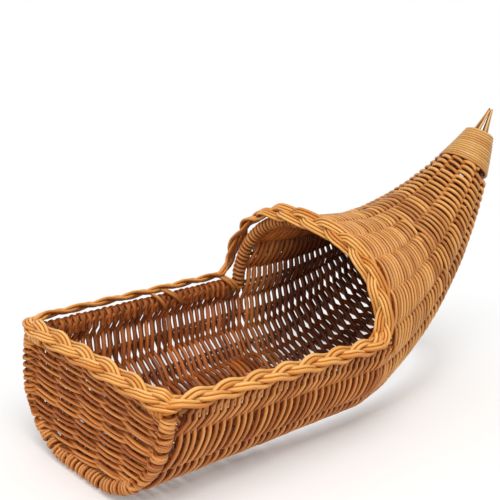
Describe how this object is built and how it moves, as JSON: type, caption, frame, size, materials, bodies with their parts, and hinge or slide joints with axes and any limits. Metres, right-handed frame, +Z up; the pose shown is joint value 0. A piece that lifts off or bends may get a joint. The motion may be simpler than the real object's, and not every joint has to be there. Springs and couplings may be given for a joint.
{
  "type": "cornucopia basket",
  "caption": "Woven basket shaped as a horn of plenty: an open trough with a plaited rim runs into a closed, rising, tapering horn with a bound tip.",
  "frame": {"origin": "on the floor, under the middle of the basket's overall length and width", "axes": "+X from the end panel to the tip, +Y to the basket's far side as pictured, +Z up"},
  "size_m": [0.4188, 0.1696, 0.203],
  "materials": {
    "woven_willow": "peeled willow, stained brown, satin",
    "stake_willow": "willow rod, stained brown, satin",
    "frame_rod": "bent willow rod, stained brown",
    "plaited_willow": "golden willow, satin, light gloss",
    "binding_cane": "pale fine cane, satin"
  },
  "bodies": {
    "root": {"arch_hoop": "frame_rod", "arch_stake_01": "stake_willow", "arch_stake_02": "stake_willow", "arch_stake_03": "stake_willow", "arch_stake_04": "stake_willow", "arch_stake_05": "stake_willow", "arch_stake_06": "stake_willow", "arch_stake_07": "stake_willow", "arch_stake_08": "stake_willow", "arch_wrap": "woven_willow", "braided_border": "plaited_willow", "corner_binding_far": "plaited_willow", "corner_binding_near": "plaited_willow", "end_frame": "frame_rod", "end_frame_wrap": "woven_willow", "end_stake_1": "stake_willow", "end_stake_2": "stake_willow", "end_stake_3": "stake_willow", "end_stake_4": "stake_willow", "end_stake_5": "stake_willow", "end_top_rod": "plaited_willow", "end_weave": "woven_willow", "horn_weave": "woven_willow", "rim_rod_far": "frame_rod", "rim_rod_near": "frame_rod", "rim_wrap_far": "woven_willow", "rim_wrap_near": "woven_willow", "side_stake_far": "stake_willow", "side_stake_near": "stake_willow", "tip_binding": "binding_cane", "trough_stake_01": "stake_willow", "trough_stake_02": "stake_willow", "trough_stake_03": "stake_willow", "trough_stake_04": "stake_willow", "trough_stake_05": "stake_willow", "trough_stake_06": "stake_willow", "trough_stake_07": "stake_willow", "trough_stake_08": "stake_willow", "trough_weave": "woven_willow"}
  },
  "joints": []
}
